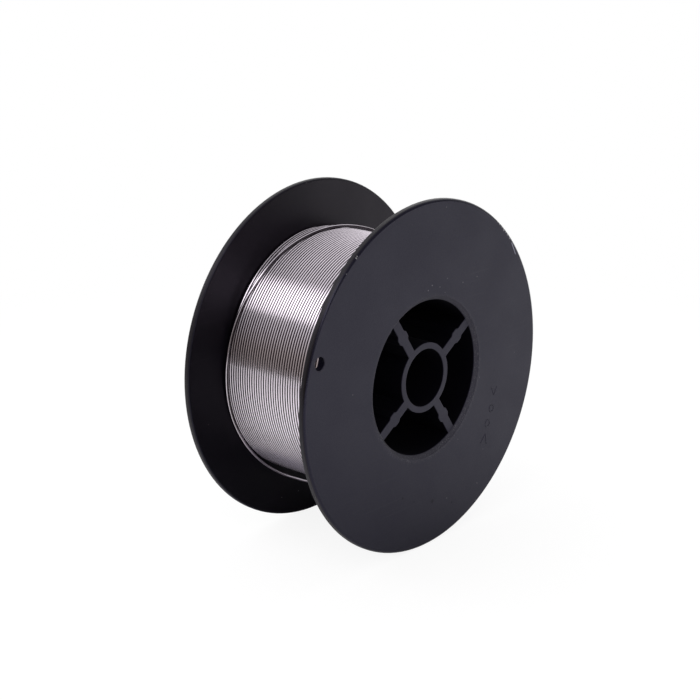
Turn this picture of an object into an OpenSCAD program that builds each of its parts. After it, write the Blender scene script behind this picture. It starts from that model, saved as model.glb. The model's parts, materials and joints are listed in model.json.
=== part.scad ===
// Wire spool: two identical moulded halves pegged together back to back under
// a level-wound pack of bare metal wire. All sizes are in millimetres.
// The axle runs along Y through the origin, at the middle of the width.
// Angles run from +X towards +Z, as seen from the near side, which faces -Y.

/* [Spool] */
// Diameter of both flanges
flange_d = 100; // [96:0.5:120]
// Width over the outer faces of both flanges
spool_w = 45; // [40:0.5:60]
// Thickness of a flange
flange_t = 2.1; // [1.8:0.1:3]
// Radius that rounds a flange's outer edge
edge_outer_r = 0.8; // [0.3:0.1:1]
// Radius that rounds a flange's inner edge, on the winding side
edge_inner_r = 0.6; // [0.3:0.1:0.8]

/* [Barrel and hub] */
// Inside diameter of the barrel, the round window in each flange
window_d = 44.2; // [40:0.2:50]
// Wall of the barrel that the wire is wound on
barrel_wall = 2.4; // [1.2:0.1:5]
// How far the chamfer opens the window at the flange's face
mouth_chamfer = 1.1; // [0.4:0.1:1.5]
// Diameter of the bore for the spindle
bore_d = 16.5; // [12:0.1:18]
// Wall of the hub tube round the bore
hub_wall = 1.75; // [1.2:0.05:2.5]
// How far the hub and the spokes lie below the flange's face
hub_recess = 1; // [0.4:0.1:3]

/* [Spokes] */
// Number of spokes in each half
spoke_n = 4; // [4:2:4]
// Direction of the first spoke, in degrees
spoke_angle = 34; // [0:1:85]
// Width of a spoke
spoke_w = 2.7; // [2:0.1:3.5]
// Width of a spoke at its boss
boss_w = 3.9; // [3.6:0.1:5]
// Length of the boss along the spoke, shoulders included
boss_l = 3.6; // [3:0.1:5]
// How far two bosses lie out from the middles of their spokes and the other
// two in, so that the halves fit together in one way only
boss_shift = 0.8; // [0:0.1:1.5]
// How far the middle of the cross of spokes lies off the axle
cross_shift = 0.45; // [0:0.05:0.8]

/* [Pegs] */
// Diameter of a peg, which joins the halves inside a boss
peg_d = 2.2; // [1.6:0.1:2.4]
// Length of a peg
peg_l = 5; // [3:0.5:8]
// Gap round a peg in its socket
peg_gap = 0.02; // [0.01:0.01:0.1]
// Room past the end of a peg in its socket
peg_room = 0.5; // [0.2:0.1:1]

/* [Wire hole] */
// Diameter of the hole that holds the wire's end
wire_hole_d = 3.8; // [3:0.1:4]
// Distance of the hole's edge from the flange's rim
wire_hole_margin = 1.9; // [1.5:0.1:3]
// Direction of the hole in the near half, in degrees
wire_hole_angle = 161.6; // [150:0.1:172]

/* [Wire] */
// Diameter of the wire
wire_d = 0.89; // [0.8:0.01:1]
// Mean radius of the full pack, over the crests of the top layer
pack_r = 36.2; // [34:0.1:38]
// How far the pack sits off the axle
pack_shift = 0.45; // [0:0.05:0.6]
// Direction in which the pack sits off the axle, in degrees
pack_shift_angle = 70; // [0:1:359]
// Loops that the top layer is drawn with
layer_loops = 24; // [12:1:24]
// Gap between the wire and a flange
wire_side_gap = 0.05; // [0.02:0.01:0.2]
// Radius of the bends where the wire's end goes through its hole
bend_r = 1.5; // [1.2:0.1:1.6]
// Length of the wire's end that lies on the far flange's outer face
hook_l = 5; // [3:0.5:8]

/* [Hidden] */
$fn = 96;
plastic = [0.13, 0.13, 0.15];
metal = [0.72, 0.71, 0.72];
inner_metal = [0.55, 0.54, 0.55];

half_w = spool_w / 2;
flange_r = flange_d / 2;
window_r = window_d / 2;
barrel_r = window_r + barrel_wall;
bore_r = bore_d / 2;
hub_r = bore_r + hub_wall;
wire_r = wire_d / 2;
// Spokes and hub run from the joint between the halves to this height
hub_h = half_w - hub_recess;
// A spoke is buried this deep in the hub's and the barrel's walls
spoke_root = 0.8;
spoke_middle = (hub_r + window_r) / 2;
wire_hole_r = flange_r - wire_hole_margin - wire_hole_d / 2;
// The far half is the near half turned over about a line in the joint, at an
// angle that brings its pegs to the near half's sockets
spoke_step = 360 / spoke_n;
turn_angle = spoke_angle + spoke_step / 2;
far_hole_angle = 2 * turn_angle - wire_hole_angle;
// Past the ends of a cut or a union, so that no faces coincide
over = 0.5;

// ---- Moulded halves ----
// A half stands on the joint, z = 0, with its flange's outer face on top.

// Points of an arc from angle a0 to a1 about the centre [x, y]
function arc(x, y, r, a0, a1, steps = 6) =
    [for (i = [0:steps]) [x + r * cos(a0 + (a1 - a0) * i / steps), y + r * sin(a0 + (a1 - a0) * i / steps)]];

// Half outline of the flange and barrel, radius across and height up
function shell_outline() = concat(
    [[window_r, 0], [barrel_r, 0], [barrel_r, half_w - flange_t]],
    arc(flange_r - edge_inner_r, half_w - flange_t + edge_inner_r, edge_inner_r, -90, 0),
    arc(flange_r - edge_outer_r, half_w - edge_outer_r, edge_outer_r, 0, 90),
    [[window_r + mouth_chamfer, half_w], [window_r, hub_h]]
);

// Middle of a spoke's boss: further out on the first two spokes than on the rest
function boss_r(spoke) = spoke_middle + (spoke < spoke_n / 2 ? boss_shift : -boss_shift);

// Half width of a spoke at a distance from the boss's middle
function spoke_half_w(d) =
    let (flat = boss_l / 5, rise = boss_l / 2 - flat, t = min(1, max(0, (abs(d) - flat) / rise)))
    spoke_w / 2 + (boss_w - spoke_w) / 2 * (1 + cos(180 * t)) / 2;

// Outline of one spoke along X, wider at its boss
module spoke_outline(spoke) {
    steps = 12;
    side = [for (i = [0:steps]) let (d = boss_l * (i / steps - 0.5)) [boss_r(spoke) + d, spoke_half_w(d)]];
    upper = concat([[hub_r - spoke_root, spoke_w / 2]], side, [[window_r + spoke_root, spoke_w / 2]]);
    lower = [for (i = [len(upper) - 1:-1:0]) [upper[i][0], -upper[i][1]]];
    polygon(concat(upper, lower));
}

// Places what is drawn along X on a spoke. The spokes' cross lies off the axle
// along the line that the far half is turned over about, so that both agree.
module on_spoke(spoke) {
    translate([-cross_shift * cos(turn_angle), -cross_shift * sin(turn_angle), 0])
        rotate([0, 0, spoke_angle + spoke * spoke_step])
            children();
}

// Places its children on every second spoke's boss, starting at the given one
module at_bosses(first) {
    for (i = [first:2:spoke_n - 1])
        on_spoke(i) translate([boss_r(i), 0, 0]) children();
}

module spool_half() {
    difference() {
        union() {
            rotate_extrude() polygon(shell_outline());
            difference() {
                union() {
                    cylinder(r = hub_r, h = hub_h);
                    for (i = [0:spoke_n - 1])
                        on_spoke(i) linear_extrude(hub_h) spoke_outline(i);
                }
                translate([0, 0, -over]) cylinder(r = bore_r, h = hub_h + 2 * over);
            }
            at_bosses(0) translate([0, 0, -peg_l]) cylinder(d = peg_d, h = peg_l + over);
        }
        at_bosses(1) translate([0, 0, -over])
            cylinder(d = peg_d + 2 * peg_gap, h = peg_l + peg_room + over);
        rotate([0, 0, wire_hole_angle])
            translate([wire_hole_r, 0, half_w - flange_t - over])
                cylinder(d = wire_hole_d, h = flange_t + 2 * over);
    }
}

// Turns a half from its own upright frame so that its flange faces -Y
module face_near() {
    rotate([90, 0, 0]) children();
}

// ---- Wire ----

// Place at an angle, a distance from the axle and a place along it
function at(angle, r, y) = [r * cos(angle), y, r * sin(angle)];
function radial(angle) = [cos(angle), 0, sin(angle)];
function along(angle) = [-sin(angle), 0, cos(angle)];

// Distance of the pack's crests from the axle, in a direction
function crest(angle) = pack_r + pack_shift * cos(angle - pack_shift_angle);

// Wire centre line next to a flange
edge_y = half_w - flange_t - wire_r - wire_side_gap;

// Ring i of a tube: a hexagon square to the way the points run there
function unit(v) = v / norm(v);
function way(points, i) = unit(points[min(i + 1, len(points) - 1)] - points[max(i - 1, 0)]);
function ring(points, outs, i, r, sides) =
    let (t = way(points, i), n = unit(outs[i] - (outs[i] * t) * t), b = cross(t, n))
    [for (k = [0:sides - 1]) points[i] + r * (cos(360 * k / sides) * n + sin(360 * k / sides) * b)];

// A tube of triangles through the points, where outs are directions that are
// never in line with it
module tube(points, outs, r, sides = 6) {
    last = len(points) - 1;
    corners = [for (i = [0:last]) each ring(points, outs, i, r, sides)];
    walls = [for (i = [0:last - 1], k = [0:sides - 1])
        let (a = i * sides + k, b = i * sides + (k + 1) % sides)
        each [[a, a + sides, b + sides], [a, b + sides, b]]];
    caps = [for (k = [1:sides - 2])
        each [[0, k, k + 1], [last * sides, last * sides + k + 1, last * sides + k]]];
    polyhedron(points = corners, faces = concat(walls, caps), convexity = 10);
}

// Least distance between the surfaces of a tube's turns, on its points
function least_gap(points, r, apart) =
    min([for (i = [0:len(points) - 1 - apart], j = [i + apart:len(points) - 1])
        norm(points[i] - points[j])]) - 2 * r;

// The top layer winds from the far flange to the near one and ends here
layer_end_angle = -120;
layer_rings = 24;
layer_start_angle = layer_end_angle - 360 * layer_loops;
layer_angles = [for (i = [0:layer_loops * layer_rings]) layer_start_angle + i * 360 / layer_rings];
layer_points = [for (a = layer_angles)
    at(a, crest(a) - wire_r, edge_y - 2 * edge_y * (a - layer_start_angle) / (360 * layer_loops))];
layer_outs = [for (a = layer_angles) radial(a)];

// The plain winding below clears the flats of the top layer's tube
layer_flat = (pack_r - wire_r) * (1 - cos(180 / layer_rings));
inner_gap = 0.05;
inner_r = pack_r - wire_d - layer_flat - inner_gap;

// The last turn crosses back over the top layer, hangs loose at both sides
// and goes on as a tail, along the far flange to its wire hole. Each stop is
// an angle, a share of edge_y and how many wire diameters its middle is above
// the crests.
last_stops = [
    [-120, -1, -0.5], [-105, -0.97, 0.1], [-90, -0.88, 0.56], [-60, -0.6, 0.56], [-30, -0.28, 0.62],
    [0, 0.05, 0.73], [30, 0.35, 1], [50, 0.52, 1.2], [64, 0.61, 1.14], [70, 0.645, 0.92], [78, 0.67, 0.72],
    [90, 0.71, 0.64], [105, 0.765, 0.62], [120, 0.825, 0.62], [135, 0.865, 0.62], [150, 0.915, 0.62],
    [165, 0.955, 0.62], [180, 0.98, 0.62], [195, 0.995, 0.62], [212, 1, 0.65], [227, 1, 1.15],
    [242, 1, 2.15], [256, 1, 4.05], [266, 1, 5.9], [276, 1, 7.5], [290, 1, 9.1], [305, 1, 10.2]
];
// Where the tail reaches the wire hole's distance from the axle
tail_angle = 335;
hole_turn = 360;

// Smooth value between stops: a cubic through them
function cubic(a, b, c, d, t) =
    b + 0.5 * t * (c - a + t * (2 * a - 5 * b + 4 * c - d + t * (3 * (b - c) + d - a)));
function stop(i) = last_stops[min(max(i, 0), len(last_stops) - 1)];
function stop_at(i, t, k) = cubic(stop(i - 1)[k], stop(i)[k], stop(i + 1)[k], stop(i + 2)[k], t);
steps_between = 3;
turn_stations = [for (i = [0:len(last_stops) - 2], j = [0:steps_between - 1])
    let (t = j / steps_between) [stop_at(i, t, 0), stop_at(i, t, 1) * edge_y, stop_at(i, t, 2) * wire_d]];
turn_points = [for (s = turn_stations) at(s[0], crest(s[0]) + s[2], s[1])];
turn_outs = [for (s = turn_stations) radial(s[0])];

// From the last stop the tail eases out to the hole's distance
last_stop = stop(len(last_stops) - 1);
tail_r0 = crest(last_stop[0]) + last_stop[2] * wire_d;
tail_steps = 5;
tail_angles = [for (i = [0:tail_steps]) last_stop[0] + (tail_angle - last_stop[0]) * i / tail_steps];
function ease(t) = sin(90 * t);
tail_points = [for (i = [0:tail_steps])
    at(tail_angles[i], tail_r0 + (wire_hole_r - tail_r0) * ease(i / tail_steps), edge_y)];
tail_outs = [for (a = tail_angles) radial(a)];
// Then it keeps that distance up to the bend into the hole
end_angle = far_hole_angle + hole_turn;
bend_share = asin(bend_r / wire_hole_r);
reach_steps = 3;
reach_angles = [for (i = [1:reach_steps])
    tail_angle + (end_angle - bend_share - tail_angle) * i / reach_steps];
reach_points = [for (a = reach_angles) at(a, wire_hole_r, edge_y)];
reach_outs = [for (a = reach_angles) radial(a)];

// Bends in the plane square to the radius at the hole: s along the rim, y out
hole_centre = at(end_angle, wire_hole_r, 0);
function at_hole(s, y) = hole_centre + s * along(end_angle) + [0, y, 0];
bend_steps = 6;
in_bend = [for (i = [1:bend_steps]) let (a = 90 * i / bend_steps)
    at_hole(bend_r * (sin(a) - 1), edge_y + bend_r * (1 - cos(a)))];
hook_y = half_w + wire_r + wire_side_gap;
out_bend = [for (i = [0:bend_steps]) let (a = 90 * i / bend_steps)
    at_hole(-bend_r * (1 - cos(a)), hook_y - bend_r * (1 - sin(a)))];
hook_end = [at_hole(-bend_r - hook_l, hook_y)];
hook_points = concat(in_bend, out_bend, hook_end);
hook_outs = [for (p = hook_points) radial(end_angle)];

last_points = concat(turn_points, tail_points, reach_points, hook_points);
last_outs = concat(turn_outs, tail_outs, reach_outs, hook_outs);

// Points less than most of a turn apart lie on one bend, not on two turns
layer_apart = layer_rings - 4;
last_apart = 30;
echo("least gap between the top layer's loops, mm", least_gap(layer_points, wire_r, layer_apart));
echo("least gap of the last turn to itself, mm", least_gap(last_points, wire_r, last_apart));

// ---- Pieces ----

module near_half() {
    color(plastic) face_near() spool_half();
}

module far_half() {
    color(plastic) face_near() rotate(180, [cos(turn_angle), sin(turn_angle), 0]) spool_half();
}

// All layers below the top one, as one plain ring round the barrel
module inner_winding() {
    ring_w = 2 * (half_w - flange_t - wire_side_gap);
    color(inner_metal) face_near() difference() {
        translate([pack_shift * cos(pack_shift_angle), pack_shift * sin(pack_shift_angle), -ring_w / 2])
            cylinder(r = inner_r, h = ring_w);
        translate([0, 0, -ring_w / 2 - over]) cylinder(r = barrel_r, h = ring_w + 2 * over);
    }
}

module top_layer() {
    color(metal) tube(layer_points, layer_outs, wire_r);
}

module last_turn() {
    color(metal) tube(last_points, last_outs, wire_r);
}

near_half();
far_half();
inner_winding();
top_layer();
last_turn();
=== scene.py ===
import json
import math

import bpy
import numpy as np
from mathutils import Matrix, Vector


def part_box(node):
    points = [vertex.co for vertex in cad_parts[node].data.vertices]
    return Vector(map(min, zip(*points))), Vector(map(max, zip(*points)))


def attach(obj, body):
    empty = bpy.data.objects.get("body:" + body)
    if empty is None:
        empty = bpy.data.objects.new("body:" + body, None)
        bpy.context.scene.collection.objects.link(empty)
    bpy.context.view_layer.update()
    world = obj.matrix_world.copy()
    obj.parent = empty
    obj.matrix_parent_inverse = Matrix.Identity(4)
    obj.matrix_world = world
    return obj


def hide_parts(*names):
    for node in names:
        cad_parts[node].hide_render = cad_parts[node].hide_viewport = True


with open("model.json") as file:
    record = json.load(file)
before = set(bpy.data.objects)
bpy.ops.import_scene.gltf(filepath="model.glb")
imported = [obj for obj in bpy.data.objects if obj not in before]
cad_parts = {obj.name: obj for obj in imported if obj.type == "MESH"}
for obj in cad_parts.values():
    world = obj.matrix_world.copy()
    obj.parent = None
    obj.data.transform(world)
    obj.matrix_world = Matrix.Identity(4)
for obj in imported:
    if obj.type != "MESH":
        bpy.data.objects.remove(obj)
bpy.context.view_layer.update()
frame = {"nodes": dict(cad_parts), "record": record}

MM = 0.001

# ---- Sizes, in millimetres, and angles in degrees; meshes are made in metres ----
# From the frame: the near half's box, and the mount at its wire hole, which goes through the flange
near_low, near_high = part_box("near_half")
hole = next(mount for mount in frame["record"]["mounts"] if mount["name"] == "wire_hole")
HALF_W = round(-near_low[1] / MM, 3)
FLANGE_R = round(near_high[0] / MM, 3)
FLANGE_T = hole["dims"]["length_mm"]
HOLE_R = hole["dims"]["r_mm"]
NEAR_HOLE_X, NEAR_HOLE_Z = (round(hole["pos_m"][axis] / MM, 3) for axis in (0, 2))
WIRE_HOLE_R = round(math.hypot(NEAR_HOLE_X, NEAR_HOLE_Z), 3)  # from the axle to a wire hole
NEAR_HOLE_ANGLE = round(math.degrees(math.atan2(NEAR_HOLE_Z, NEAR_HOLE_X)), 1)
# As in the CAD source
TURN_ANGLE = 79.0  # the far half is the near one turned over about the line at this angle
WINDOW_R = 22.1
BARREL_WALL = 2.4
HUB_RECESS = 1.0
WIRE_D = 0.89
SIDE_GAP = 0.05
PACK_R = 36.2
PACK_SHIFT, PACK_SHIFT_ANGLE = 0.45, 70.0  # the winding is this far off the axle, towards this angle
BEND_R = 1.5
HOOK_L = 5.0
# Worked out from these
FACE_Y = -HALF_W  # the near flange's outer face
INNER_Y = HALF_W - FLANGE_T  # the flanges' inner faces, near and far
HUB_Y = HALF_W - HUB_RECESS  # the ends of the hub tube and the spokes
BARREL_R = WINDOW_R + BARREL_WALL
WIRE_R = WIRE_D / 2
EDGE_Y = INNER_Y - WIRE_R - SIDE_GAP  # the middle of a turn that lies beside a flange
HOLE_ANGLE = 360.0 + 2 * TURN_ANGLE - NEAR_HOLE_ANGLE  # the far half's wire hole

scene = bpy.context.scene
scene.view_settings.view_transform = "Standard"


# ---- Camera, at the photograph's viewing angle ----
def make_camera():
    azimuth, elevation = -0.842940657, 0.300306852  # radians
    distance, shift_right, shift_up = 480.763910, -4.53568, 3.29265  # millimetres
    focal_px, frame_px, sensor = 1688.0, 700.0, 36.0
    level = math.cos(elevation)
    back = Vector((math.sin(azimuth) * level, -math.cos(azimuth) * level, math.sin(elevation)))
    right = Vector((math.cos(azimuth), math.sin(azimuth), 0.0))
    up = back.cross(right)
    cam = bpy.data.cameras.new("camera")
    cam.sensor_width = sensor
    cam.lens = focal_px * sensor / frame_px
    # The camera was fitted to the middles of pixels, half a pixel from their corners
    cam.shift_x, cam.shift_y = -0.5 / frame_px, 0.5 / frame_px
    cam.clip_start, cam.clip_end = 0.01, 50.0
    obj = bpy.data.objects.new("camera", cam)
    scene.collection.objects.link(obj)
    turn = Matrix((right, up, back)).transposed().to_4x4()
    place = (back * distance + right * shift_right + up * shift_up) * MM
    obj.matrix_world = Matrix.Translation(place) @ turn
    scene.camera = obj


make_camera()


# ---- Mesh helpers ----
def new_mesh(name, verts, faces, smooth=True, uvs=None):
    """An object from points in millimetres, faces as lists of corners, uvs as one pair per corner."""
    me = bpy.data.meshes.new(name)
    me.from_pydata((np.asarray(verts, float) * MM).tolist(), [], [list(map(int, f)) for f in faces])
    if uvs is not None:
        layer = me.uv_layers.new(name="along")
        layer.data.foreach_set("uv", np.asarray(uvs, np.float32).ravel())
    me.validate()
    me.polygons.foreach_set("use_smooth", [smooth] * len(me.polygons))
    me.update()
    obj = bpy.data.objects.new(name, me)
    scene.collection.objects.link(obj)
    return obj


def unit(v):
    return v / np.linalg.norm(v, axis=-1, keepdims=True)


def corner_uvs(*corners):
    """One (u, v) pair for each corner of a grid's quads; each corner is given as its grids of u and v."""
    return np.stack([np.stack(pair, -1) for pair in corners], 2).reshape(-1, 2)


def tube(name, points, outs, radius, sides=16, start_cap=True, end_cap=True):
    """A round tube through the points; outs are directions that are never in line with it.

    Its uvs are the length along it in millimetres, and the share of a turn round it from outs.
    """
    n = len(points)
    way = np.empty_like(points)
    way[1:-1] = points[2:] - points[:-2]
    way[0], way[-1] = points[1] - points[0], points[-1] - points[-2]
    way = unit(way)
    out = unit(outs - (outs * way).sum(1, keepdims=True) * way)
    side = np.cross(way, out)
    a = np.arange(sides) * 2 * math.pi / sides
    ring = np.cos(a)[None, :, None] * out[:, None, :] + np.sin(a)[None, :, None] * side[:, None, :]
    verts = (points[:, None, :] + radius * ring).reshape(-1, 3)
    length = np.concatenate([[0], np.cumsum(np.linalg.norm(points[1:] - points[:-1], axis=1))])
    i, k = np.meshgrid(np.arange(n - 1), np.arange(sides), indexing="ij")
    i2, k2 = i + 1, (k + 1) % sides
    quads = np.stack([i * sides + k, i * sides + k2, i2 * sides + k2, i2 * sides + k], -1)
    faces = quads.reshape(-1, 4).tolist()
    u0, u1 = length[i], length[i2]
    v0, v1 = k / sides, (k + 1) / sides
    uvs = corner_uvs((u0, v0), (u0, v1), (u1, v1), (u1, v0)).tolist()
    if start_cap:
        faces.append(list(range(sides))[::-1])
        uvs += [[0.0, 0.0]] * sides
    if end_cap:
        faces.append([(n - 1) * sides + j for j in range(sides)])
        uvs += [[length[-1], 0.0]] * sides
    return new_mesh(name, verts, faces, uvs=uvs)


# ---- Wire. Angles are in degrees round the axle, from +X towards +Z ----
def radial(angle):
    a = np.radians(angle)
    return np.stack([np.cos(a), np.zeros_like(a), np.sin(a)], -1)


def along(angle):
    a = np.radians(angle)
    return np.stack([-np.sin(a), np.zeros_like(a), np.cos(a)], -1)


def at(angle, r, y):
    angle, r, y = np.broadcast_arrays(np.asarray(angle, float), np.asarray(r, float), np.asarray(y, float))
    out = radial(angle) * r[..., None]
    out[..., 1] = y
    return out


def crest(angle):
    """The top layer's outer radius."""
    return PACK_R + PACK_SHIFT * np.cos(np.radians(np.asarray(angle, float) - PACK_SHIFT_ANGLE))


def ease(t):
    t = np.clip(t, 0, 1)
    return t * t * (3 - 2 * t)


TURNS = 44
PITCH = 0.905
FAR_GAP = 0.32  # from EDGE_Y at the far flange to the first turn
NEAR_GAP = 2 * EDGE_Y - (TURNS - 1) * PITCH - FAR_GAP
LAYER_POINTS = 120  # in each turn
LAYER_END = -120.0
LEAD_IN = 180.0  # the layer starts this far before its first whole turn
RISE_OVER, RISE = 40.0, 0.95  # and comes up from the layer below over this much, by this many diameters
CLOSE_FROM, CLOSE_OVER = 100.0, 90.0  # before its end, the last turn closes up to the near flange
STEP_FROM, STEP_TO = -78.0, -18.0  # each turn steps over to the next place between these angles
LEAN, LEAN_ANGLE = 0.54, 238.0  # the turns between the flanges lean this far towards +Y at this angle
WANDER, WANDER_EVERY = 0.012, 34  # the turns wander sideways, at random
WANDER_PAST = 0.03  # but no further past EDGE_Y than this
DIP, DIP_EVERY = 0.008, 47  # and they dip below the crest


def slow_noise(rng, n, every, size):
    """A smooth random line of n values that turns about once in so many steps."""
    m = n // every + 3
    knots = rng.normal(0, size, m)
    x = np.arange(n) / every
    i = x.astype(int)
    t = ease(x - i)
    return knots[i] * (1 - t) + knots[i + 1] * t


def top_layer_path():
    """The layer's turns lie square to the axle, from the far flange to the near one."""
    start = LAYER_END - 360.0 * (TURNS - 1) - LEAD_IN
    n = int(round((LAYER_END - start) / 360.0 * LAYER_POINTS)) + 1
    a = np.linspace(start, LAYER_END, n)
    whole = np.floor((a - STEP_FROM) / 360.0)
    part = (a - STEP_FROM) - whole * 360.0
    done = whole + ease(part / (STEP_TO - STEP_FROM))
    done -= done[-1]
    y = -EDGE_Y + NEAR_GAP * (1 - ease((a - LAYER_END + CLOSE_FROM) / CLOSE_OVER)) - done * PITCH
    y += LEAN * (1 - (y / EDGE_Y) ** 2) * np.cos(np.radians(a - LEAN_ANGLE))
    rng = np.random.RandomState(11)
    limit = EDGE_Y + WANDER_PAST
    y = np.clip(y + slow_noise(rng, n, WANDER_EVERY, WANDER), -limit, limit)
    r = crest(a) - WIRE_R - np.abs(slow_noise(rng, n, DIP_EVERY, DIP))
    r -= (1 - ease((a - start) / RISE_OVER)) * WIRE_D * RISE
    return at(a, r, y), radial(a)


layer_points, layer_outs = top_layer_path()
top_layer = tube("wire_top_layer", layer_points, layer_outs, WIRE_R, sides=14, end_cap=False)

# The loose last turn: angle, share of EDGE_Y, and the wire's middle's height over the crests in diameters
LAST_STOPS = np.array([
    [-120, -1, -0.5], [-105, -0.97, 0.1], [-90, -0.88, 0.56], [-60, -0.6, 0.56], [-30, -0.28, 0.62],
    [0, 0.05, 0.73], [30, 0.35, 1], [50, 0.52, 1.15], [64, 0.61, 1.0], [70, 0.64, 0.76],
    [78, 0.665, 0.56], [90, 0.702, 0.53], [105, 0.755, 0.52], [120, 0.818, 0.52], [135, 0.862, 0.52],
    [150, 0.918, 0.53], [165, 0.955, 0.53], [180, 0.977, 0.53], [195, 0.993, 0.53], [212, 1, 0.56],
    [227, 1, 0.92], [242, 1, 1.80], [256, 1, 3.60], [266, 1, 5.9], [276, 1, 7.5], [290, 1, 9.1],
    [305, 1, 10.2],
])
LAST_STEP = 1.6  # degrees from point to point
TAIL_ANGLE = 335.0  # where the tail reaches the wire hole's distance from the axle


def cubic(a, b, c, d, t):
    """A smooth curve from b to c, with a before and d after."""
    return b + 0.5 * t * (c - a + t * (2 * a - 5 * b + 4 * c - d + t * (3 * (b - c) + d - a)))


def shares(n, first=1):
    """The shares first/n, (first + 1)/n and so on up to 1."""
    return np.arange(first, n + 1) / n


def last_turn_path():
    """The last turn, its tail along the far flange, and the hook through the far half's wire hole."""
    stops = LAST_STOPS
    last = len(stops) - 1
    rows = []
    for i in range(last):
        a, b, c, d = stops[max(i - 1, 0)], stops[i], stops[i + 1], stops[min(i + 2, last)]
        steps = max(4, int((c[0] - b[0]) / LAST_STEP))
        rows += [cubic(a, b, c, d, j / steps) for j in range(steps)]
    s = np.array(rows)
    points = [at(s[:, 0], crest(s[:, 0]) + s[:, 2] * WIRE_D, s[:, 1] * EDGE_Y)]
    outs = [radial(s[:, 0])]
    # The tail, out to the hole's distance from the axle and on to the hole
    end_angle, _, end_height = stops[last]
    end_r = crest(end_angle) + end_height * WIRE_D
    t = shares(20, first=0)
    a = end_angle + (TAIL_ANGLE - end_angle) * t
    points.append(at(a, end_r + (WIRE_HOLE_R - end_r) * np.sin(np.radians(90 * t)), EDGE_Y))
    outs.append(radial(a))
    bend_angle = math.degrees(math.asin(BEND_R / WIRE_HOLE_R))  # round the axle, from the bend to the hole
    a = TAIL_ANGLE + (HOLE_ANGLE - bend_angle - TAIL_ANGLE) * shares(10)
    points.append(at(a, WIRE_HOLE_R, EDGE_Y))
    outs.append(radial(a))
    # The hook: a bend into the hole, a bend out of it, and a short straight end on the far face
    hook_y = HALF_W + WIRE_R + SIDE_GAP
    b = np.radians(90 * shares(12))
    s_in, y_in = BEND_R * (np.sin(b) - 1), EDGE_Y + BEND_R * (1 - np.cos(b))
    b = np.radians(90 * shares(12, first=0))
    s_out, y_out = -BEND_R * (1 - np.cos(b)), hook_y - BEND_R * (1 - np.sin(b))
    s_end = -BEND_R - HOOK_L * shares(10)
    s = np.concatenate([s_in, s_out, s_end])
    hook = at(HOLE_ANGLE, WIRE_HOLE_R, 0.0) + s[:, None] * along(HOLE_ANGLE)
    hook[:, 1] = np.concatenate([y_in, y_out, np.full(len(s_end), hook_y)])
    points.append(hook)
    outs.append(np.repeat(radial(HOLE_ANGLE)[None], len(hook), 0))
    return np.concatenate(points), np.concatenate(outs)


last_points, last_outs = last_turn_path()
last_turn = tube("wire_last_turn", last_points, last_outs, WIRE_R, sides=16, start_cap=False)


def inner_winding():
    """All layers below the top one, with the grooves of the layer that the top one lies on."""
    around, per_wire = 144, 4  # corners round the axle, and across each turn
    uv_around, uv_across = 1.5, 0.1  # u and v from one corner to the next
    half = INNER_Y - SIDE_GAP
    barrel_gap = 0.02
    drop = WIRE_R + WIRE_D * math.sin(math.radians(60))  # from the crests to the middles of the turns below
    end_drop = 0.6  # from these to the edges beside the flanges
    ys, bulge = [-half], [-end_drop]
    for w in range(TURNS - 1):
        mid = -EDGE_Y + NEAR_GAP + (w + 0.5) * PITCH
        for j in range(per_wire):
            d = (j / per_wire - 0.5) * PITCH
            ys.append(mid + d)
            bulge.append(math.sqrt(max(WIRE_R ** 2 - d ** 2, 0.0)))
    ys += [EDGE_Y, half]
    bulge += [0.0, -end_drop]
    a = np.arange(around)[:, None] * 360.0 / around
    outer = at(a, crest(a) - drop + np.array(bulge), np.array(ys))
    inside = at(a, BARREL_R + barrel_gap, np.array([half, -half]))
    prof = np.concatenate([outer, inside], 1)
    m = prof.shape[1]
    i, k = np.meshgrid(np.arange(around), np.arange(m), indexing="ij")
    i2, k2 = (i + 1) % around, (k + 1) % m
    faces = np.stack([i * m + k, i2 * m + k, i2 * m + k2, i * m + k2], -1).reshape(-1, 4)
    u0, u1 = i * uv_around, (i + 1) * uv_around
    v0, v1 = k * uv_across, (k + 1) * uv_across
    uvs = corner_uvs((u0, v0), (u1, v0), (u1, v1), (u0, v1))
    return new_mesh("wire_inner_winding", prof.reshape(-1, 3), faces.tolist(), smooth=False, uvs=uvs)


inner = inner_winding()


# ---- Moulded marks on the near face: two chevrons, and between them two pips, which are small rings ----
RIDGE_W, RIDGE_H = 0.34, 0.07
# Across a ridge: shares of its width, and of its height above the face
RIDGE_PROFILE = ((-0.5, -0.3), (-0.5, 0.0), (-0.22, 1.0), (0.22, 1.0), (0.5, 0.0), (0.5, -0.3))
CHEVRONS = [
    [(29.6, -10.0), (30.7, -12.6), (32.2, -10.2)],
    [(24.9, -26.0), (27.1, -23.6), (27.7, -26.8)],
]
PIPS = [(29.7, -16.4), (28.0, -20.6)]
PIP_R = 1.0


def ridge(points, closed=False):
    """Corners and faces of a low ridge along points [x, z] on the near face."""
    p = np.asarray(points, float)
    n = len(p)
    way = np.roll(p, -1, 0) - np.roll(p, 1, 0)
    if not closed:
        way[0], way[-1] = p[1] - p[0], p[-1] - p[-2]
    way = unit(way)
    side = np.stack([-way[:, 1], way[:, 0]], -1)
    rows = []
    for off, up in RIDGE_PROFILE:
        q = p + side * RIDGE_W * off
        rows.append(np.stack([q[:, 0], np.full(n, FACE_Y - RIDGE_H * up), q[:, 1]], -1))
    verts = np.stack(rows, 1).reshape(-1, 3)
    m = len(RIDGE_PROFILE)
    faces = []
    for i in range(n if closed else n - 1):
        i2 = (i + 1) % n
        for k in range(m):
            k2 = (k + 1) % m
            faces.append([i * m + k, i2 * m + k, i2 * m + k2, i * m + k2])
    if not closed:
        faces += [list(range(m))[::-1], [(n - 1) * m + k for k in range(m)]]
    return verts, faces


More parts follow.
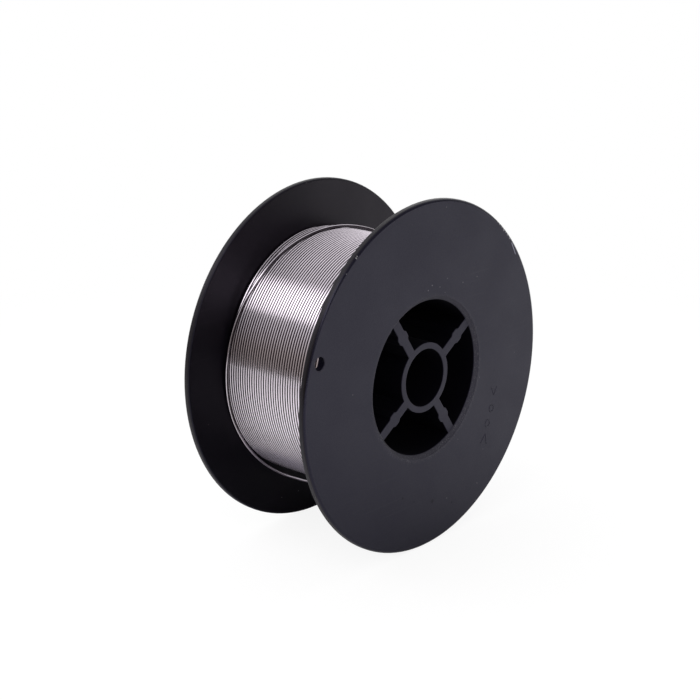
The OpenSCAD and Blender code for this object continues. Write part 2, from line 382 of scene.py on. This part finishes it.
def densify(corners, step=0.3):
    """The corners, with points between them about a step apart."""
    out = []
    for a, b in zip(corners[:-1], corners[1:]):
        n = max(1, int(math.dist(a, b) / step))
        out += [[a[0] + (b[0] - a[0]) * i / n, a[1] + (b[1] - a[1]) * i / n] for i in range(n)]
    return out + [list(corners[-1])]


def moulded_marks():
    turn = np.radians(np.arange(0, 360, 10))
    ridges = [ridge(densify(corners)) for corners in CHEVRONS]
    for x, z in PIPS:
        ridges.append(ridge(np.stack([x + PIP_R * np.cos(turn), z + PIP_R * np.sin(turn)], -1), closed=True))
    verts, faces = [], []
    for ridge_verts, ridge_faces in ridges:
        faces += [[corner + len(verts) for corner in face] for face in ridge_faces]
        verts += ridge_verts.tolist()
    return new_mesh("face_marks", verts, faces, smooth=False)


marks = moulded_marks()


# ---- Materials ----
WHITE = (1.0, 1.0, 1.0, 1.0)


class Nodes:
    """Short calls for building the nodes of one material or world."""

    def __init__(self, owner):
        owner.use_nodes = True
        self.tree = owner.node_tree
        self.tree.nodes.clear()

    def put(self, socket, value):
        """Links the socket to another node's output, or sets its plain value."""
        if isinstance(value, bpy.types.NodeSocket):
            self.tree.links.new(value, socket)
        else:
            socket.default_value = value

    def add(self, kind, inputs=None, **settings):
        node = self.tree.nodes.new(kind)
        for key, value in settings.items():
            setattr(node, key, value)
        for key, value in (inputs or {}).items():
            self.put(node.inputs[key], value)
        return node

    def math(self, op, a, b=0.0, c=0.0):
        return self.add("ShaderNodeMath", {0: a, 1: b, 2: c}, operation=op).outputs[0]

    def vec(self, op, a, b=(0, 0, 0)):
        node = self.add("ShaderNodeVectorMath", {0: a, 1: b}, operation=op)
        return node.outputs["Value" if op in ("LENGTH", "DOT_PRODUCT") else "Vector"]

    def xyz(self, vector):
        return self.add("ShaderNodeSeparateXYZ", {0: vector}).outputs

    def both(self, *masks):
        """The masks multiplied together."""
        total = masks[0]
        for mask in masks[1:]:
            total = self.math("MULTIPLY", total, mask)
        return total

    def either(self, *masks):
        """The greatest of the masks at each point."""
        total = masks[0]
        for mask in masks[1:]:
            total = self.math("MAXIMUM", total, mask)
        return total

    def ramp(self, value, low, high, to_low=0.0, to_high=1.0):
        """Value mapped smoothly from low..high to to_low..to_high, and held outside."""
        ends = {"Value": value, "From Min": low, "From Max": high, "To Min": to_low, "To Max": to_high}
        node = self.add("ShaderNodeMapRange", ends, interpolation_type="SMOOTHSTEP", clamp=True)
        return node.outputs["Result"]

    def ramp_mm(self, value, low, high, to_low=0.0, to_high=1.0):
        """The same for a length, with low and high in millimetres."""
        return self.ramp(value, low * MM, high * MM, to_low, to_high)

    def between(self, share, a, b):
        """The number that is this share of the way from a to b."""
        return self.add("ShaderNodeMix", {"Factor": share, "A": a, "B": b}).outputs[0]

    def mix(self, share, a, b):
        """The same for colours."""
        node = self.add("ShaderNodeMix", {"Factor": share}, data_type="RGBA")
        for socket, value in ((node.inputs[6], a), (node.inputs[7], b)):
            self.put(socket, (*value, 1.0) if isinstance(value, tuple) else value)
        return node.outputs[2]

    def noise(self, vector, scale, detail=2.0, rough=0.5):
        inputs = {"Vector": vector, "Scale": scale, "Detail": detail, "Roughness": rough}
        return self.add("ShaderNodeTexNoise", inputs).outputs["Fac"]

    def shows_background(self):
        """1 for the camera's own rays and those through clear material, which see the plain white."""
        path = self.add("ShaderNodeLightPath")
        return self.either(path.outputs["Is Camera Ray"], path.outputs["Is Transmission Ray"])


def new_material(name):
    mat = bpy.data.materials.new(name)
    n = Nodes(mat)
    shader = n.add("ShaderNodeBsdfPrincipled")
    n.add("ShaderNodeOutputMaterial", {"Surface": shader.outputs[0]})
    return mat, n, shader.inputs


# Small marks on the near face: x, z and radius of each, in millimetres
PITS = [(2.8, -37.4, 0.8), (11.8, -40.4, 0.42), (-5.3, -35.1, 0.4), (-10.3, -32.5, 0.5), (30.5, -5.0, 0.35)]
CHIPS = [
    (30.6, 39.1, 0.4), (31.6, 38.3, 0.5), (32.7, 37.2, 0.4), (33.6, 36.3, 0.6), (34.5, 35.4, 0.35),
    (35.3, 34.6, 0.5), (36.3, 33.3, 0.35), (-29.7, 39.7, 0.3), (-29.3, 40.1, 0.22),
]
FLECKS = [
    (1.4, 26.3, 0.28), (-0.3, 25.2, 0.25), (4.8, 25.2, 0.2), (8.1, 27.0, 0.18), (15.0, 24.5, 0.2),
    (-33.6, 36.3, 0.2),
]
SCRAPE_FROM, SCRAPE_TO = (37.2, 32.1), (39.5, 27.8)

# Scales of the patterns, in waves or cells per metre
CLOUD_SCALE = 55.0
GRAIN_SCALE = 3000.0
SPECK_SCALE = 3300.0
SCUFF_SCALE = (26.0, 26.0, 1500.0)
SCUFF_PATCH_SCALE = 38.0
DUST_SCALE = 420.0


def plastic_material():
    """Black moulded plastic: cloudy, finely grained, frosted round the windows, with small marks and dust."""
    mat, n, inputs = new_material("spool_plastic")
    pos = n.add("ShaderNodeTexCoord").outputs["Object"]
    x, y, z = n.xyz(pos)
    r = n.math("SQRT", n.math("ADD", n.math("MULTIPLY", x, x), n.math("MULTIPLY", z, z)))
    depth = n.math("ABSOLUTE", y)
    cloud = n.noise(pos, CLOUD_SCALE, 4.0, 0.6)
    grain = n.noise(pos, GRAIN_SCALE, 3.0, 0.65)

    def apart(sx, sz):
        """Distance from the line along Y through x and z, which are in millimetres."""
        offset = n.vec("SUBTRACT", pos, (sx * MM, 0.0, sz * MM))
        return n.vec("LENGTH", n.vec("MULTIPLY", offset, (1.0, 0.0, 1.0)))

    # Where on the moulding a point is
    outer = n.ramp_mm(depth, HUB_Y - 0.2, HUB_Y)
    near_face = n.ramp_mm(y, FACE_Y + 0.7, FACE_Y + 0.4)
    rim = n.ramp_mm(r, FLANGE_R - 0.25, FLANGE_R - 0.08)
    edge = n.both(n.ramp_mm(r, FLANGE_R - 0.9, FLANGE_R - 0.7), n.ramp_mm(depth, HALF_W - 0.9, HALF_W - 0.7))
    inner_face = n.both(
        n.ramp_mm(depth, INNER_Y + 0.3, INNER_Y - 0.1),
        n.ramp_mm(r, FLANGE_R + 0.1, FLANGE_R - 0.1),
    )
    in_barrel = n.both(
        n.ramp_mm(depth, HUB_Y - 0.08, HUB_Y - 0.38),
        n.ramp_mm(r, BARREL_R + 0.1, BARREL_R - 0.1),
    )
    in_hole = n.both(
        n.ramp_mm(apart(NEAR_HOLE_X, NEAR_HOLE_Z), HOLE_R + 0.10, HOLE_R + 0.04),
        n.ramp_mm(y, 1.4 - INNER_Y, 0.4 - INNER_Y),
        n.ramp_mm(y, FACE_Y + 0.15, FACE_Y + 0.4),
    )
    # The barrel's inside and the wire hole, which get near-black painted shade below
    deep = n.either(in_barrel, in_hole)

    # The frosted edge round the window, and specks that thin out away from it and lie mostly low on the right
    frost = n.both(
        n.ramp_mm(r, WINDOW_R - 0.01, WINDOW_R + 0.04),
        n.ramp_mm(r, WINDOW_R + 1.9, WINDOW_R + 0.55),
        outer,
    )
    specks = n.both(
        n.ramp(n.noise(pos, SPECK_SCALE, 2.0, 0.7), 0.56, 0.66),
        n.ramp_mm(r, WINDOW_R, WINDOW_R + 0.2),
        n.ramp_mm(r, WINDOW_R + 2.8, WINDOW_R + 0.6),
        n.ramp_mm(n.vec("DOT_PRODUCT", pos, (0.5, 0.0, -0.87)), -18.0, 12.0, 0.25, 1.0),
        outer,
    )

    def spots(places):
        round_marks = [n.ramp_mm(apart(sx, sz), size, 0.4 * size) for sx, sz, size in places]
        return n.both(n.either(*round_marks), near_face)

    pits, chips, flecks = spots(PITS), spots(CHIPS), spots(FLECKS)
    # The scrape beside the rim: part is the share of the way along it, and beside the distance from its line
    ax, az, bx, bz = (v * MM for v in (*SCRAPE_FROM, *SCRAPE_TO))
    length = math.hypot(bx - ax, bz - az)
    offset = n.vec("SUBTRACT", pos, (ax, 0.0, az))
    part = n.math("DIVIDE", n.vec("DOT_PRODUCT", offset, (bx - ax, 0.0, bz - az)), length ** 2)
    beside = n.math("DIVIDE", n.vec("DOT_PRODUCT", offset, (bz - az, 0.0, ax - bx)), length)
    scrape = n.both(
        n.ramp_mm(n.math("ABSOLUTE", beside), 0.22, 0.06),
        n.ramp(part, 0.0, 0.15),
        n.ramp(part, 1.0, 0.85),
        near_face,
    )
    # Fine scuffs in patches, two sets of them, each long in its own direction
    lines = []
    for turn, shift in ((0.5, 0.0), (1.9, 7.0)):
        mapping = {"Vector": pos, "Scale": SCUFF_SCALE}
        mapping |= {"Location": (shift, 0.0, shift), "Rotation": (0.0, turn, 0.0)}
        spun = n.add("ShaderNodeMapping", mapping).outputs[0]
        lines.append(n.ramp(n.noise(spun, 1.0, 1.0, 0.4), 0.70, 0.80))
    scuffs = n.both(n.either(*lines), n.ramp(n.noise(pos, SCUFF_PATCH_SCALE, 2.0), 0.48, 0.62))
    # Dust lies at the middle of about one cell in ten
    cells = n.add("ShaderNodeTexVoronoi", {"Vector": pos, "Scale": DUST_SCALE})
    chosen = n.add("ShaderNodeSeparateColor", {0: cells.outputs["Color"]}).outputs[0]
    dust = n.both(n.ramp(cells.outputs["Distance"], 0.075, 0.045), n.ramp(chosen, 0.90, 0.92))

    # The plain colour; the rim is a little warmer than the faces, and the inner faces are darker low down
    # with painted shade
    base = n.mix(cloud, (0.0048, 0.0043, 0.0095), (0.0070, 0.0064, 0.0135))
    base = n.mix(rim, base, (0.0066, 0.0056, 0.0062))
    inner_shade_color = n.mix(n.ramp_mm(z, 30.0, 10.0), (0.0054, 0.0040, 0.0056), (0.0018, 0.0012, 0.0022))
    base = n.mix(inner_face, base, inner_shade_color)
    for mask, strength, color in (
        (frost, 0.62, (0.055, 0.053, 0.062)),
        (specks, 0.7, (0.14, 0.138, 0.145)),
        (scuffs, 0.05, (0.12, 0.12, 0.13)),
        (dust, 0.4, (0.35, 0.34, 0.35)),
        (chips, 0.75, (0.36, 0.35, 0.36)),
        (flecks, 0.45, (0.30, 0.29, 0.31)),
        (scrape, 0.8, (0.36, 0.36, 0.44)),
        # The last two paint shade, near black, into the barrel and the wire hole
        (deep, 1.0, (0.0008, 0.0007, 0.0016)),
        (in_hole, 1.0, (0.0010, 0.0007, 0.0050)),
    ):
        base = n.mix(n.math("MULTIPLY", mask, strength), base, color)
    n.put(inputs["Base Color"], base)

    # Frost and the deep places are rougher, scuffs smoother, and the rounded edges are polished by handling
    rough = n.ramp(cloud, 0.3, 0.7, 0.38, 0.46)
    for mask, change in ((frost, 0.22), (deep, 0.5), (scuffs, -0.05), (edge, -0.24)):
        rough = n.math("MULTIPLY_ADD", mask, change, rough)
    n.put(inputs["Roughness"], rough)

    # The inner faces shine less than the outer ones, least of all low down, and the deep places shine least:
    # painted shade
    gloss = n.mix(n.ramp(grain, 0.3, 0.7), (0.62, 0.59, 0.86), (0.76, 0.72, 1.0))
    inner_shine_shade = n.mix(n.ramp_mm(z, 28.0, 0.0, 0.25, 0.95), (0.69, 0.595, 0.75), (0.10, 0.09, 0.11))
    for mask, tint in (
        (inner_face, inner_shine_shade),
        (pits, (0.25, 0.24, 0.34)),
        (rim, (0.60, 0.56, 0.70)),
        (deep, (0.10, 0.09, 0.16)),
    ):
        gloss = n.mix(mask, gloss, tint)
    n.put(inputs["Specular Tint"], gloss)
    inputs["IOR"].default_value = 1.44

    # The bevel shades the moulding's edges as if they were rounded by 0.18 mm
    bevel = n.add("ShaderNodeBevel", {"Radius": 0.18 * MM}, samples=4)
    bump = {"Strength": 0.55, "Distance": 0.04 * MM, "Height": grain, "Normal": bevel.outputs[0]}
    n.put(inputs["Normal"], n.add("ShaderNodeBump", bump).outputs[0])
    return mat


def wire_material(name, low_shade_strength, top_right_lift):
    """Bare drawn wire, with painted shade on the sides of each turn.

    The second argument is how dark that shade is at the bottom of the winding, and the third how much of it
    is lifted high on the right.
    """
    mat, n, inputs = new_material(name)
    uv = n.add("ShaderNodeUVMap", uv_map="along").outputs[0]
    pos = n.add("ShaderNodeTexCoord").outputs["Object"]
    x, _, z = n.xyz(pos)
    waist = n.both(n.ramp_mm(z, 8.0, -2.0), n.ramp_mm(z, -23.0, -15.0))
    # Fine lines along the wire from the drawing die, a slow change of tone, and painted light in a band round
    # the waist
    drawn = n.add("ShaderNodeMapping", {"Vector": uv, "Scale": (0.18, 26.0, 1.0)}).outputs[0]
    lines = n.noise(drawn, 1.0, 3.0, 0.6)
    tone = n.noise(pos, 240.0, 2.0, 0.5)
    base = n.mix(n.ramp(lines, 0.3, 0.7), (0.80, 0.725, 0.805), (0.89, 0.81, 0.90))
    base = n.mix(n.ramp(tone, 0.35, 0.65, 0.0, 0.12), base, (0.70, 0.63, 0.70))
    base = n.mix(n.math("MULTIPLY", waist, 0.55), base, (1.0, 0.925, 1.0))
    # Painted shade darkens the sides of each turn, away from its crest, where v is a whole number
    off_crest = n.math("ABSOLUTE", n.math("SUBTRACT", n.math("FRACT", n.math("ADD", n.xyz(uv)[1], 0.5)), 0.5))
    groove = n.ramp(off_crest, 0.06, n.between(waist, 0.17, 0.15))
    shade_lift = n.both(n.ramp_mm(z, 15.0, 30.0), n.ramp_mm(x, 3.0, 9.0, 0.0, top_right_lift))
    groove_shade_strength = n.between(n.ramp_mm(z, -12.0, -26.0), n.between(waist, 0.89, 0.97), low_shade_strength)
    dark = n.both(groove, groove_shade_strength, n.math("SUBTRACT", 1.0, shade_lift))
    n.put(inputs["Base Color"], n.mix(dark, base, (0.05, 0.044, 0.048)))
    inputs["Metallic"].default_value = 1.0
    n.put(inputs["Roughness"], n.ramp(lines, 0.25, 0.75, 0.09, 0.15))
    bump = n.add("ShaderNodeBump", {"Strength": 0.03, "Distance": 0.02 * MM, "Height": lines})
    n.put(inputs["Normal"], bump.outputs[0])
    return mat


plastic = plastic_material()
wire = wire_material("wire_metal", 0.92, 0.6)
loose_wire = wire_material("wire_metal_loose", 0.35, 0.0)

for name in ("near_half", "far_half"):
    node = frame["nodes"][name]
    if not node.material_slots:
        node.data.materials.append(plastic)
    for s in node.material_slots:
        s.material = plastic
for piece, metal in ((top_layer, wire), (last_turn, loose_wire), (inner, wire)):
    piece.data.materials.append(metal)
    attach(piece, "root")
marks.data.materials.append(plastic)
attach(marks, "root")
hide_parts("top_layer")
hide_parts("last_turn")
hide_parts("inner_winding")

# ---- Floor and background, in metres ----
FLOOR_Z = -FLANGE_R * MM
FLOOR_X = (-0.41, 0.9)
FLOOR_Y = (-0.7, 0.9)


def make_floor():
    """A white sheet. The camera sees it fade into the white background, with a faint shadow of the object."""
    me = bpy.data.meshes.new("floor")
    (left, right), (front, behind) = FLOOR_X, FLOOR_Y
    corners = ((left, front), (right, front), (right, behind), (left, behind))
    me.from_pydata([(x, y, FLOOR_Z) for x, y in corners], [], [(0, 1, 2, 3)])
    obj = bpy.data.objects.new("floor", me)
    scene.collection.objects.link(obj)
    mat = bpy.data.materials.new("floor_white")
    n = Nodes(mat)
    pos = n.add("ShaderNodeTexCoord").outputs["Object"]
    x, y, _ = n.xyz(pos)
    away = n.vec("LENGTH", pos)
    # What light and reflections meet: a sheet with a painted shadow, greyer under the spool
    along_y = n.math("ABSOLUTE", n.math("SUBTRACT", y, 0.018))
    under = n.both(n.ramp(n.math("ABSOLUTE", x), 0.038, 0.024), n.ramp(along_y, 0.032, 0.018))
    sheet = n.add("ShaderNodeBsdfDiffuse", {"Color": n.mix(under, (0.80, 0.80, 0.80), (0.45, 0.45, 0.49))})
    # It glows a little in three places, as if lamps lit them
    front_right = n.ramp(n.vec("DOT_PRODUCT", pos, (0.71, -0.71, 0.0)), -0.02, 0.16, 0.0, 0.35)
    back_right = n.ramp(n.vec("DOT_PRODUCT", pos, (0.77, 0.64, 0.0)), 0.25, 0.60, 0.0, 0.6)
    close_left = n.both(
        n.ramp(x, -0.034, -0.062),
        n.ramp(away, 0.10, 0.30, 0.24, 0.05),
        n.ramp(y, -0.08, -0.02),
    )
    lit = n.math("ADD", n.math("ADD", front_right, close_left), back_right)
    pool = n.add("ShaderNodeEmission", {"Color": WHITE, "Strength": lit})
    plain = n.add("ShaderNodeAddShader", {0: sheet.outputs[0], 1: pool.outputs[0]})
    # What the camera sees: near white with a faint shadow close to the object, and white further away
    dim = n.add("ShaderNodeBsdfDiffuse", {"Color": (0.16, 0.16, 0.16, 1.0)})
    glow = n.add("ShaderNodeEmission", {"Color": WHITE, "Strength": 0.88})
    near = n.add("ShaderNodeAddShader", {0: dim.outputs[0], 1: glow.outputs[0]})
    white = n.add("ShaderNodeEmission", {"Color": WHITE, "Strength": 1.0})
    far = n.ramp(away, 0.14, 0.30)
    seen = n.add("ShaderNodeMixShader", {0: far, 1: near.outputs[0], 2: white.outputs[0]})
    sides = {0: n.shows_background(), 1: plain.outputs[0], 2: seen.outputs[0]}
    mixed = n.add("ShaderNodeMixShader", sides)
    n.add("ShaderNodeOutputMaterial", {"Surface": mixed.outputs[0]})
    me.materials.append(mat)


make_floor()


# The studio's brightness round the spool's axle. Each row is an angle in degrees from +X towards +Z, three
# levels, to the spool's front, in line with its middle and behind it, and a tint. The soft box is at 113 to
# 140 degrees.
PLAIN, WARMISH, WARM = (1.0, 1.0, 1.0), (1.0, 0.96, 0.95), (1.0, 0.91, 0.83)
SURROUND = [
    (0, 0.28, 0.84, 0.90, PLAIN),
    (17, 0.24, 0.93, 0.96, PLAIN),
    (35, 0.24, 1.04, 1.00, PLAIN),
    (53, 0.24, 0.98, 0.95, PLAIN),
    (71, 0.26, 0.94, 0.86, PLAIN),
    (87, 0.28, 0.95, 0.73, PLAIN),
    (108, 0.32, 0.98, 0.63, PLAIN),
    (113, 1.50, 1.55, 1.15, PLAIN),
    (118, 2.50, 2.15, 1.55, PLAIN),
    (129, 2.50, 2.15, 1.60, PLAIN),
    (135, 2.00, 2.05, 1.55, PLAIN),
    (140, 1.00, 1.65, 1.25, PLAIN),
    (143, 0.30, 0.80, 0.70, PLAIN),
    (157, 0.20, 0.58, 0.55, WARMISH),
    (170, 0.16, 0.38, 0.36, WARM),
    (187, 0.14, 0.26, 0.26, WARM),
    (192, 0.14, 0.26, 0.26, PLAIN),
    (285, 0.20, 0.26, 0.22, PLAIN),
    (340, 0.32, 0.78, 0.85, PLAIN),
    (360, 0.28, 0.84, 0.90, PLAIN),
]
TOP_LEVEL = 2.5  # the ramps hold shares of this level, because their colours end at 1


def make_world():
    world = bpy.data.worlds.new("studio")
    scene.world = world
    n = Nodes(world)
    x, y, z = n.xyz(n.add("ShaderNodeTexCoord").outputs["Generated"])
    share = n.math("FRACT", n.math("DIVIDE", n.math("ARCTAN2", z, x), 2 * math.pi))
    rings = []
    for column in (1, 2, 3):
        ramp = n.add("ShaderNodeValToRGB", {0: share})
        stops = ramp.color_ramp.elements
        while len(stops) > 1:
            stops.remove(stops[-1])
        for i, row in enumerate(SURROUND):
            place = row[0] / 360
            stop = stops[0] if i == 0 else stops.new(place)
            stop.position = place
            stop.color = (*(row[column] / TOP_LEVEL * c for c in row[4]), 1.0)
        rings.append(ramp.outputs[0])
    color = n.mix(n.ramp(y, -0.55, 0.15), rings[0], rings[1])
    color = n.mix(n.ramp(y, 0.35, 0.95), color, rings[2])
    studio = n.add("ShaderNodeBackground", {"Color": color, "Strength": TOP_LEVEL})
    white = n.add("ShaderNodeBackground", {"Color": WHITE, "Strength": 1.0})
    sides = {0: n.shows_background(), 1: studio.outputs[0], 2: white.outputs[0]}
    mixed = n.add("ShaderNodeMixShader", sides)
    n.add("ShaderNodeOutputWorld", {"Surface": mixed.outputs[0]})


make_world()
